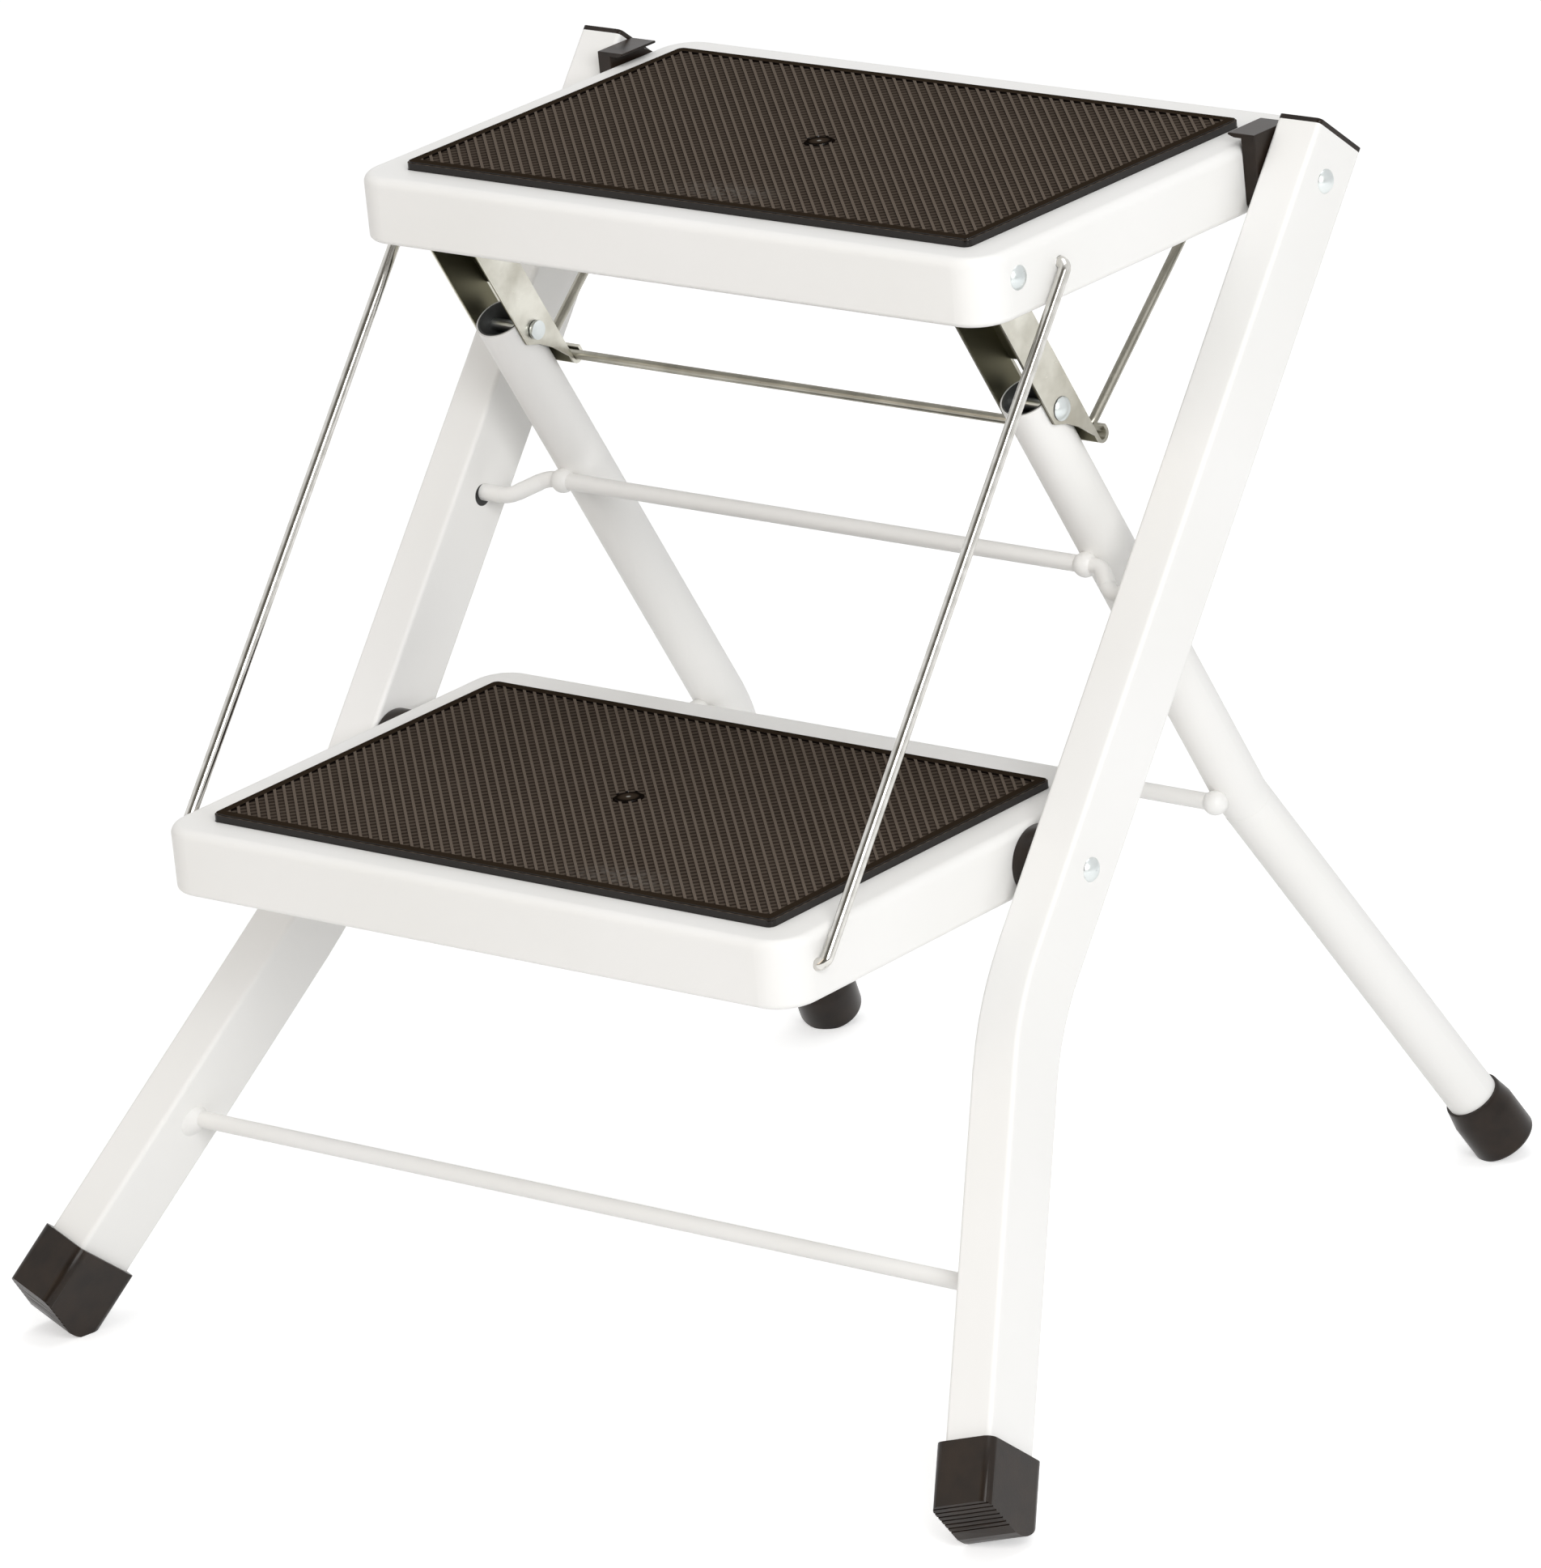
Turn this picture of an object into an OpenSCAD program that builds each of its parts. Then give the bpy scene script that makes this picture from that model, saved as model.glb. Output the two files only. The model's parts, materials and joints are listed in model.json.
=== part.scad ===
// Folding two-step step stool in painted steel tube and pressed steel, open and locked.
// Origin: centre of the footprint on the floor. +X is the right side, +Y the rear, +Z up.

/* [Stance] */
// lean of the front legs from upright, degrees
front_lean = 38.8; // [36:0.1:41]
// lean of the rear tubes from upright, degrees
rear_lean = 28.9; // [27:0.1:31]
// point on the floor that the front legs' centre lines aim at
leg_foot_y = -224; // [-236:1:-212]
// height of the top step's hinge
top_hinge_z = 444.5; // [436:0.5:452]
// rise from the lower step to the top step
tread_rise = 228.5; // [220:0.5:236]
// height of the pivot where the rear frame crosses the front legs
cross_pivot_z = 303; // [297:0.5:309]

/* [Front legs] */
// width of the front leg tube, side to side
leg_w = 21; // [19:0.5:22]
// depth of the front leg tube, front to rear
leg_d = 31.5; // [29:0.5:33]
// wall of the front leg tube
leg_wall = 1.5; // [1:0.1:2.5]
// room between a step's side and the front leg
step_side_room = 7.3; // [6:0.1:10.5]
// corner radius of the front leg tube
leg_corner_r = 2; // [1.6:0.1:3]
// length of the front leg above its top hinge
leg_over_hinge = 18.5; // [17:0.5:22]
// height of the bend in the front leg
leg_bend_z = 167; // [160:0.5:176]
// outward splay of the front leg below its bend, degrees
leg_splay = 17.7; // [14:0.1:20]
// centre radius of the front leg's bend
leg_bend_r = 160; // [100:5:180]

// thickness of the plug's cap on top of the leg
plug_cap = 2; // [1.2:0.1:3]
// depth of the plug inside the leg
plug_depth = 12; // [8:1:16]

/* [Rear frame] */
// diameter of the rear tubes
tube_d = 22; // [20:0.5:23]
// wall of the rear tubes
tube_wall = 1.4; // [1:0.1:2.5]
// middle of each rear tube inside the step's side
tube_inset = 27.5; // [25.5:0.5:29.5]
// drop from the cross pivot to the bend in the rear tube, along the tube
tube_bend_drop = 151; // [146:0.5:156]
// outward splay of the rear tube below its bend, degrees
tube_splay = 12.3; // [10:0.1:14]
// centre radius of the rear tube's bend
tube_bend_r = 45; // [40:5:80]
// diameter of the welded cross rods
rod_d = 7; // [6:0.5:8]
// forward crank of the pivot rod's ends
rod_crank = 12.5; // [11:0.5:13.5]
// centre radius of the pivot rod's bends
rod_bend_r = 10; // [8:0.5:12]
// angle of the pivot rod's bends
rod_bend_angle = 45; // [40:1:50]
// straight length of the pivot rod beside each front leg
rod_beside = 10; // [8:0.5:11]
// straight end of the pivot rod that reaches into each front leg
rod_in_leg = 5; // [3:0.5:9]
// weld bead size
weld_r = 5.2; // [4.5:0.1:6]
// radius of the weld cone where the front cross rod meets a leg
weld_foot_r = 6.5; // [5:0.5:7]
// length of that weld cone
weld_len = 4; // [3:0.5:6]
// depth that each weld sinks the rod into the tube's surface
weld_sink = 0.3; // [0.2:0.1:0.6]
// height of the front cross rod
front_rod_z = 82.5; // [76:0.5:90]

/* [Steps] */
// width of each step
step_w = 329; // [326:0.5:330.5]
// depth of each step, front to rear
step_depth = 212; // [208:0.5:216]
// height of the step's wall
step_h = 28; // [26:0.5:30]
// sheet thickness of the steps
step_sheet = 1.2; // [1:0.1:1.6]
// radius of the step's upright corners
step_corner_r = 16; // [12:0.5:20]
// radius of the step's top edge
step_edge_r = 4; // [3:0.5:5]
// radius of the curled lower rim
rim_r = 2.4; // [2:0.1:3]
// step surface above its hinge
step_over_hinge = 15.5; // [14.5:0.1:16.5]
// middle of the top step ahead of its hinge
top_mid_ahead = 76; // [73:0.5:79]
// middle of the lower step ahead of its hinge
low_mid_ahead = 47.2; // [44:0.1:50]
// width of each mat
mat_w = 292; // [286:0.5:296]
// depth of each mat
mat_depth = 174.7; // [170:0.5:178]
// thickness of each mat
mat_t = 4.5; // [4:0.1:5.5]
// corner radius of each mat
mat_corner_r = 3; // [2:0.5:8]
// front border between the step's edge and the mat
mat_border_front = 15; // [13:0.5:17]
// depth of the shallow seat pressed into the step for the mat
mat_seat = 1; // [0.6:0.1:1.4]
// step that softens the mat's upper edge
mat_edge = 0.6; // [0.3:0.1:0.8]
// width of the plain rim round the mat
mat_rim = 4.5; // [3.5:0.5:6]
// depth of the ribbed field below the rim
mat_field = 0.9; // [0.5:0.1:1.2]
// spacing of the mat's diagonal ribs
mat_rib_pitch = 3.85; // [3.5:0.05:6]
// width of a diagonal rib
mat_rib_w = 1.2; // [1:0.1:2]
// direction of the diagonal ribs, degrees from the stool's width
mat_rib_angle = -45; // [-50:1:-40]
// drop of the ribs' tops below the rim
mat_rib_drop = 0.1; // [0.05:0.05:0.3]
// drop of the round mark's top below the rim
mat_mark_drop = 0.3; // [0.1:0.1:0.5]
// plain ring round the mark
mat_mark_ring = 1; // [0.5:0.1:2]
// diameter of the round moulding mark in the middle of the mat
mat_mark_d = 13; // [10:1:18]

/* [Hinges] */
// radius of the hinge blocks' round, below the top step's hinges
block_r = 18; // [16:0.5:19]
// radius of the round spacers on the lower step's hinges
bush_r = 14.5; // [12:0.5:18]
// diameter of the hinge rivets' shanks
hinge_pin_d = 6; // [5:0.5:8]
// diameter of the rivets' heads
rivet_head_d = 10; // [9:0.5:13]
// height of the rivets' heads
rivet_head_h = 2.6; // [2:0.1:3.5]
// thickness of the rivets' closed ends
rivet_tail_t = 2; // [1.5:0.1:3]
// diameter of the rivets' closed ends
rivet_tail_d = 10; // [8:0.5:12]
// reach of the hinge block's lip over the step
block_lip = 6.5; // [5:0.5:12]
// thickness of the hinge block's lip
block_lip_t = 2; // [1.6:0.1:3]
// thickness of the lip at its tip
block_lip_tip = 0.9; // [0.6:0.1:1.4]
// underside of the lip above the step's surface
block_lip_clear = 3.5; // [1:0.1:4]
// front face of the hinge block ahead of the hinge
block_front = 16; // [14:0.5:18]
// length of the hinge block's lip behind the hinge
block_back = 6; // [5:0.5:12]

/* [Lock brackets] */
// distance between the lock bracket's two pivots
bracket_len = 75.6; // [73:0.2:78]
// pivot of the rear tube and lock bracket, above the cross pivot along the tube
bracket_rise = 74; // [71:0.5:77]
// pivot of the rear tube and lock bracket, behind the tube's middle
bracket_back = 2.7; // [2:0.1:3.2]
// tube end above that pivot
tube_over_pin = 7.5; // [6.5:0.1:9]
// sheet thickness of the lock brackets
bracket_t = 1.5; // [1.2:0.1:2]
// front edge of the bracket from its pivots
bracket_front = 7; // [6:0.2:7.4]
// radius of the bracket's upper end
bracket_end_r = 6.5; // [6:0.1:7]
// top of the bracket above its lower pivot
bracket_reach = 63.5; // [60:0.5:63.5]
// height of the sloped corner at the bracket's upper rear
bracket_slope = 9; // [8.5:0.5:12]
// lower end of the bracket's web below the tube pivot
bracket_tail = 26; // [24:0.5:28]
// height of the web's lower part above the hook
web_low_len = 17; // [14:0.5:18]
// lip beyond the hook's bend
hook_lip = 2.2; // [0.5:0.1:3]
// diameter of the bracket pivots
bracket_pin_d = 5; // [4:0.5:6]
// diameter of the bracket pivots' heads
bracket_head_d = 10; // [8:0.5:11]
// height of the bracket pivots' heads
bracket_head_h = 2.2; // [1.6:0.1:2.6]
// diameter of the bracket pivots' closed ends
bracket_end_d = 8; // [7:0.5:10]
// thickness of the bracket pivots' closed ends
bracket_end_t = 1.6; // [1.2:0.1:2]
// length of the relief in the web that lets the tube end swing
web_relief_up = 15.5; // [15:0.5:20]
// diameter of the lock bail's wire
bail_d = 4; // [3.5:0.1:4.2]
// length of the bail's arms from the hooks
bail_arm = 100; // [94:0.5:101]
// rise of the bail's arms, degrees
bail_rise = 40.6; // [39:0.2:42]
// middle of each bail arm outside the rear tube's middle
bail_out = 5; // [3:0.2:7]
// bend radius at the middle of the bail's wire
bail_bend_r = 6.5; // [5:0.5:8]

/* [Link rods] */
// diameter of the link rods
link_d = 5; // [4:0.5:6]
// link pivot behind the lower step's front edge
link_front = 18.4; // [16:0.2:22]
// link pivot above the step hinge
link_over = 2.6; // [1:0.2:5]
// middle of each link rod outside the step's side
link_out = 3.65; // [3.5:0.05:3.8]
// bend radius at the middle of the link rod
link_bend_r = 3.4; // [3:0.1:3.5]
// diameter of the push-on caps on the link rods' ends
cap_d = 11; // [9:0.5:13]

/* [Feet] */
// wall of the rubber feet
foot_wall = 2.8; // [2:0.1:3.2]
// length of a front foot along the leg
front_foot_len = 33; // [30:0.5:38]
// radius of a front foot's upright corners
front_corner_r = 4; // [2:0.5:4.5]
// radius of a front foot's rounded heel, where it stands
front_heel_r = 13; // [8:0.5:14]
// rise of a front foot's sole at the toe
front_toe_rise = 6.5; // [4:0.5:8]
// length of the sloped part of that sole, from the toe
front_toe_run = 21; // [16:1:22]
// length of a rear foot along the tube
rear_foot_len = 27; // [23:0.5:32]
// wall of a rear foot at its thin mouth
rear_mouth_wall = 1.2; // [0.8:0.1:2]
// length of the part that thins towards the mouth
rear_mouth_len = 9; // [4:0.5:14]
// radius of a rear foot's lower edge
rear_foot_edge_r = 2; // [1:0.5:3]
// rubber below the end of each tube
foot_sole = 8; // [7:0.5:10]
// flat worn by the floor on each foot's lowest edge
foot_flat = 0.8; // [0.4:0.1:1.2]
// spacing of the grooves in the front feet's soles
sole_pitch = 2.5; // [2:0.5:5]
// width of those grooves
sole_groove_w = 0.7; // [0.5:0.1:1.4]
// depth of those grooves
sole_groove_depth = 0.4; // [0.3:0.1:1.2]

/* [Hidden] */
fit = 0.05;
gap = 0.3;
eps = 0.01;
lap = 0.3;
seam = 0.1;
$fn = 72;

tube_r = tube_d / 2;
rod_r = rod_d / 2;
step_x = step_w / 2;
leg_inner_x = step_x + step_side_room;
tube_x = step_x - tube_inset;
bail_x = tube_x + bail_out;
leg_x = leg_inner_x + leg_w / 2;
leg_outer_x = leg_inner_x + leg_w;
function leg_y(z) = leg_foot_y + z * tan(front_lean);
top_hinge = [leg_y(top_hinge_z), top_hinge_z];
low_hinge = [leg_y(top_hinge_z - tread_rise), top_hinge_z - tread_rise];
cross_pivot = [leg_y(cross_pivot_z), cross_pivot_z];
rod_ahead = tube_r + rod_r - weld_sink;
tube_offset = rod_ahead + rod_crank;
tube_back = [cos(rear_lean), sin(rear_lean)];
tube_up = [-sin(rear_lean), cos(rear_lean)];
tube_origin = cross_pivot + tube_offset * tube_back;
tube_pin = tube_origin + bracket_rise * tube_up + bracket_back * tube_back;
step_pin = tube_pin + bracket_len * tube_up;
web_in = tube_r - bracket_back + gap;
web_out = web_in + bracket_t;
bracket_half = tube_r + gap + bracket_t;
bracket_in = bracket_half - bracket_t;
// lower front outline of the lock bracket's cheeks, about the tube pivot
cheek_low = [[-bracket_front, -2], [5.5 - bracket_front, -7], [10.5 - bracket_front, -14],
    [web_in - 1.2, 4 - bracket_tail], [web_in + 0.8, -bracket_tail]];
hook_play = 0.15;
hook_in = bail_d / 2 + hook_play;
hook_slack = 0.5;
hook_z = -bracket_tail - 1;
hook_y = web_out + hook_in;
hook = tube_pin + hook_z * tube_up + hook_y * tube_back;
link_ahead = low_mid_ahead + step_depth / 2 - link_front;
link_top = top_hinge + [-link_ahead, link_over];
link_low = low_hinge + [-link_ahead, link_over];
link_x = step_x + link_out;
top_front = top_hinge[0] - top_mid_ahead - step_depth / 2;
low_front = low_hinge[0] - low_mid_ahead - step_depth / 2;
// the top step's corner ends before the flat that its bracket rivet needs
top_corner_r = min(step_corner_r, step_pin[0] - top_front - bracket_end_d / 2);
top_surface = top_hinge_z + step_over_hinge;
low_surface = top_surface - tread_rise;
leg_bend_u = leg_bend_z / cos(front_lean);
leg_bend_t = leg_bend_r * tan(leg_splay / 2);
leg_top_u = top_hinge_z / cos(front_lean) + leg_over_hinge;
tube_bend_t = tube_bend_r * tan(tube_splay / 2);
foot_half_w = leg_w / 2 + foot_wall;
foot_half_d = leg_d / 2 + foot_wall;
sole_angle = atan(front_toe_rise / front_toe_run);
// drop from the middle of a front foot's end to the lowest point of its heel
heel_side = cos(front_lean) * sin(leg_splay);
foot_drop = (foot_half_d - front_heel_r) * sin(front_lean) + foot_half_w * heel_side
    + front_heel_r * (sqrt(1 - heel_side * heel_side) - cos(front_lean) * cos(leg_splay));
leg_low_len = (leg_bend_z - foot_drop + foot_flat) / (cos(front_lean) * cos(leg_splay));
rear_foot_r = tube_r + foot_wall;
tube_bend_z = tube_origin[1] - tube_bend_drop * cos(rear_lean);
rear_fall = cos(rear_lean) * cos(tube_splay);
rear_foot_drop = (rear_foot_r - rear_foot_edge_r) * sqrt(1 - rear_fall * rear_fall)
    + rear_foot_edge_r * (1 - rear_fall);
tube_low_len = (tube_bend_z - rear_foot_drop + foot_flat) / rear_fall;

zinc = [0.78, 0.78, 0.74];
paint = [0.95, 0.95, 0.94];
rubber = [0.13, 0.12, 0.11];
chrome = [0.86, 0.87, 0.88];

// frames: leg() has its Z along the front legs, tube() along the rear tubes
module in_leg() { translate([0, leg_foot_y, 0]) rotate([-front_lean, 0, 0]) children(); }
module in_tube() { translate([0, tube_origin[0], tube_origin[1]]) rotate([rear_lean, 0, 0]) children(); }
module in_bracket() { translate([0, tube_pin[0], tube_pin[1]]) rotate([rear_lean, 0, 0]) children(); }
module at(p, x = 0) { translate([x, p[0], p[1]]) children(); }
module along_x(h, d) { rotate([0, 90, 0]) cylinder(h = h, d = d); }
module mirrored(s) { if (s < 0) mirror([1, 0, 0]) children(); else children(); }

module round_rect(w, d, r) {
    for (i = [-1, 1]) for (j = [-1, 1])
        translate([i * (w / 2 - r), j * (d / 2 - r)]) circle(r);
    square([w - 2 * r, d], center = true);
    square([w, d - 2 * r], center = true);
}

// floor plane cut
module above_floor(size = 200) {
    difference() {
        children();
        translate([-2 * size, -2 * size, -size]) cube([4 * size, 4 * size, size]);
    }
}

// the path of a front leg: upper straight, bend, splayed lower straight
module leg_sweep(w, d, r, top, low) {
    translate([leg_x, 0, leg_bend_u + leg_bend_t - lap])
        linear_extrude(top - leg_bend_u - leg_bend_t + lap) round_rect(w, d, r);
    translate([leg_x + leg_bend_r, 0, leg_bend_u + leg_bend_t]) rotate([90, 0, 0])
        rotate_extrude(angle = leg_splay, start = 180, $fn = 180)
            translate([leg_bend_r, 0]) round_rect(w - seam, d - seam, r);
    low_leg() translate([0, 0, -low]) linear_extrude(low - leg_bend_t + lap) round_rect(w, d, r);
}

// frame at the bend with Z up along the splayed lower leg
module low_leg() { translate([leg_x, 0, leg_bend_u]) rotate([0, -leg_splay, 0]) children(); }
module low_tube() { translate([tube_x, 0, -tube_bend_drop]) rotate([0, -tube_splay, 0]) children(); }

module front_leg(s) {
    color(paint) mirrored(s) difference() {
        in_leg() difference() {
            leg_sweep(leg_w, leg_d, leg_corner_r, leg_top_u, leg_low_len - foot_sole);
            leg_sweep(leg_w - 2 * leg_wall, leg_d - 2 * leg_wall, leg_corner_r - leg_wall + 0.4,
                leg_top_u + 1, leg_low_len + 1);
        }
        for (h = [top_hinge, low_hinge])
            at(h, leg_inner_x - 1) along_x(leg_w + 2, hinge_pin_d + 2 * fit);
        at(cross_pivot, leg_inner_x - 1) along_x(leg_wall + 2, rod_d + 2 * fit);
    }
}

module front_crossbar() {
    rod_y = leg_y(front_rod_z);
    face_x = leg_inner_x + (leg_bend_z - front_rod_z) * tan(leg_splay) / cos(front_lean);
    color(paint) difference() {
        translate([0, rod_y, front_rod_z]) {
            translate([-face_x - rod_d, 0, 0]) along_x(2 * (face_x + rod_d), rod_d);
            for (s = [-1, 1]) mirrored(s) translate([face_x + weld_len, 0, 0]) rotate([0, -90, 0])
                cylinder(h = 2 * weld_len, r1 = 2 * weld_foot_r - rod_r, r2 = rod_r);
        }
        for (s = [-1, 1]) mirrored(s) in_leg() low_leg()
            translate([-leg_w / 2, -leg_d, -leg_low_len])
                cube([3 * leg_w, 2 * leg_d, leg_low_len]);
    }
}

module front_foot(s) {
    color(rubber) mirrored(s) above_floor() in_leg() low_leg() translate([0, 0, -leg_low_len])
        difference() {
            intersection() {
                linear_extrude(front_foot_len)
                    round_rect(2 * foot_half_w, 2 * foot_half_d, front_corner_r);
                rotate([90, 0, 90]) linear_extrude(4 * foot_half_w, center = true) {
                    translate([foot_half_d - front_heel_r, front_heel_r]) circle(front_heel_r);
                    polygon([[-foot_half_d, front_toe_rise], [front_toe_run - foot_half_d, 0],
                        [foot_half_d - front_heel_r, 0], [foot_half_d - front_heel_r, front_heel_r],
                        [foot_half_d, front_heel_r], [foot_half_d, front_foot_len],
                        [-foot_half_d, front_foot_len]]);
                }
            }
            translate([0, 0, foot_sole]) linear_extrude(front_foot_len)
                round_rect(leg_w + 2 * fit, leg_d + 2 * fit, leg_corner_r);
            translate([0, -foot_half_d, front_toe_rise]) rotate([-sole_angle, 0, 0])
                for (y = [sole_pitch / 2 : sole_pitch : front_toe_run - sole_pitch])
                    translate([-2 * foot_half_w, y, -sole_pitch])
                        cube([4 * foot_half_w, sole_groove_w, sole_pitch + sole_groove_depth]);
        }
}

module leg_plug(s) {
    color(rubber) mirrored(s) in_leg() translate([leg_x, 0, leg_top_u]) {
        linear_extrude(plug_cap) round_rect(leg_w, leg_d, leg_corner_r);
        translate([0, 0, -plug_depth]) linear_extrude(plug_depth)
            round_rect(leg_w - 2 * leg_wall - 2 * fit, leg_d - 2 * leg_wall - 2 * fit, 0.5);
    }
}

// domed rivet head on its seat, pointing along +X
module head(d, h) {
    r = (d * d / 4 + h * h) / (2 * h);
    rotate([0, 90, 0]) intersection() {
        cylinder(h = h, d = d);
        translate([0, 0, h - r]) sphere(r);
    }
}

// hinge rivet through the leg, the spacer and the step's side
module hinge_rivet(p, s) {
    inside = step_x - step_sheet - gap;
    color(zinc) mirrored(s) at(p) {
        translate([leg_outer_x, 0, 0]) head(rivet_head_d, rivet_head_h);
        translate([inside, 0, 0]) along_x(leg_outer_x - inside, hinge_pin_d);
        translate([inside - rivet_tail_t, 0, 0]) along_x(rivet_tail_t, rivet_tail_d);
    }
}

module rear_leg(s) {
    top = bracket_rise + tube_over_pin;
    color(paint) mirrored(s) difference() {
        in_tube() difference() {
            tube_sweep(tube_r, top, tube_low_len - foot_sole);
            tube_sweep(tube_r - tube_wall, top + 1, tube_low_len + 1);
        }
        at(tube_pin, tube_x - tube_d) along_x(2 * tube_d, bracket_pin_d + 2 * fit);
    }
}

module tube_sweep(r, top, low) {
    translate([tube_x, 0, tube_bend_t - tube_bend_drop - lap])
        cylinder(h = top + tube_bend_drop - tube_bend_t + lap, r = r);
    translate([tube_x + tube_bend_r, 0, tube_bend_t - tube_bend_drop]) rotate([90, 0, 0])
        rotate_extrude(angle = tube_splay, start = 180, $fn = 180)
            translate([tube_bend_r, 0]) circle(r - seam);
    low_tube() translate([0, 0, -low]) cylinder(h = low - tube_bend_t + lap, r = r);
}

module rear_foot(s) {
    color(rubber) mirrored(s) above_floor() in_tube() low_tube() translate([0, 0, -tube_low_len])
        difference() {
            rotate_extrude() {
                square([rear_foot_r - rear_foot_edge_r, 2 * rear_foot_edge_r]);
                polygon([[0, rear_foot_edge_r], [rear_foot_r, rear_foot_edge_r],
                    [rear_foot_r, rear_foot_len - rear_mouth_len],
                    [tube_r + rear_mouth_wall, rear_foot_len], [0, rear_foot_len]]);
                translate([rear_foot_r - rear_foot_edge_r, rear_foot_edge_r])
                    circle(rear_foot_edge_r, $fn = 48);
            }
            translate([0, 0, foot_sole]) cylinder(h = rear_foot_len, r = tube_r + fit);
        }
}

// pivot rod: welded across the front of both tubes, its ends cranked forward into the legs
module pivot_rod() {
    run = 2 * rod_bend_r * sin(rod_bend_angle);
    slant = (rod_crank - 2 * rod_bend_r * (1 - cos(rod_bend_angle))) / sin(rod_bend_angle);
    bend_x = leg_inner_x - rod_beside - run - slant * cos(rod_bend_angle);
    color(paint) difference() {
        in_tube() translate([0, -rod_ahead, 0]) {
            translate([-bend_x - lap, 0, 0]) along_x(2 * bend_x + 2 * lap, rod_d);
            for (s = [-1, 1]) mirrored(s) {
                translate([bend_x, -rod_bend_r, 0]) rotate([0, 0, 90 - rod_bend_angle])
                    rotate_extrude(angle = rod_bend_angle)
                    translate([rod_bend_r, 0]) circle(rod_r - seam);
                translate([bend_x + rod_bend_r * sin(rod_bend_angle),
                    -rod_bend_r * (1 - cos(rod_bend_angle)), 0])
                    rotate([0, 0, -rod_bend_angle]) translate([-lap, 0, 0])
                    along_x(slant + 2 * lap, rod_d);
                translate([bend_x + run + slant * cos(rod_bend_angle), rod_bend_r - rod_crank, 0])
                    rotate([0, 0, -90 - rod_bend_angle])
                    rotate_extrude(angle = rod_bend_angle)
                    translate([rod_bend_r, 0]) circle(rod_r - seam);
                translate([leg_inner_x - rod_beside - lap, -rod_crank, 0])
                    along_x(rod_beside + lap + rod_in_leg, rod_d);
                translate([tube_x, 0, 0]) sphere(weld_r);
            }
        }
        in_tube() for (s = [-1, 1]) translate([s * tube_x, 0, -tube_d])
            cylinder(h = 2 * tube_d, r = tube_r);
    }
}

module rear_crossbar() {
    color(paint) difference() {
        in_tube() translate([0, -rod_ahead, tube_bend_t + weld_r + lap - tube_bend_drop]) {
            translate([-tube_x - rod_r, 0, 0]) along_x(2 * tube_x + rod_d, rod_d);
            for (s = [-1, 1]) translate([s * tube_x, 0, 0]) sphere(weld_r);
        }
        in_tube() for (s = [-1, 1]) translate([s * tube_x, 0, -tube_bend_drop])
            cylinder(h = 4 * rod_d, r = tube_r);
    }
}

module bracket_rivet(s) {
    reach = bracket_half + gap;
    color(zinc) mirrored(s) at(tube_pin, tube_x) {
        translate([-reach, 0, 0]) along_x(2 * reach, bracket_pin_d);
        translate([reach, 0, 0]) head(bracket_head_d, bracket_head_h);
        translate([-reach - bracket_end_t, 0, 0]) along_x(bracket_end_t, bracket_end_d);
    }
}

// step wall and edge, outward along +X and up along +Y, from radius 0 to r
module step_profile(r) {
    t = step_sheet;
    translate([r - t, rim_r - step_h]) square([t, step_h - rim_r - step_edge_r]);
    intersection() {
        translate([r - step_edge_r, -step_edge_r]) difference() {
            circle(step_edge_r);
            circle(step_edge_r - t);
        }
        translate([r - step_edge_r, -step_edge_r]) square(step_edge_r);
    }
    translate([0, -t]) square([r - step_edge_r, t]);
    intersection() {
        translate([r - rim_r, rim_r - step_h]) difference() {
            circle(rim_r);
            circle(rim_r - t);
        }
        translate([r - rim_r, -step_h]) square(rim_r);
    }
}

// pressed step, its surface at z = 0, its front edge at y = 0, its upright corners of radius r
module step_shell(r) {
    wx = step_x - r;
    seat_c = mat_border_front + mat_depth / 2;
    difference() {
        union() {
            for (x = [-1, 1]) for (y = [0, 1])
                translate([x * wx, y ? step_depth - r : r, 0])
                    rotate([0, 0, y ? (x > 0 ? 0 : 90) : (x > 0 ? 270 : 180)])
                    rotate_extrude(angle = 90) step_profile(r);
            for (x = [-1, 1]) mirrored(x) translate([wx, step_depth - r, 0])
                rotate([90, 0, 0]) linear_extrude(step_depth - 2 * r) step_profile(r);
            translate([-wx, step_depth - r, 0]) rotate([90, 0, 90])
                linear_extrude(2 * wx) step_profile(r);
            translate([wx, r, 0]) rotate([90, 0, -90])
                linear_extrude(2 * wx) step_profile(r);
            translate([-wx - eps, r - eps, -step_sheet])
                cube([2 * wx + 2 * eps, step_depth - 2 * r + 2 * eps, step_sheet]);
            translate([0, seat_c, -mat_seat - step_sheet])
                linear_extrude(mat_seat + step_sheet / 2)
                round_rect(mat_w + 2 * step_sheet, mat_depth + 2 * step_sheet, mat_corner_r + step_sheet);
        }
        translate([0, seat_c, -mat_seat]) linear_extrude(10)
            round_rect(mat_w + gap, mat_depth + gap, mat_corner_r);
    }
}

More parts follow.
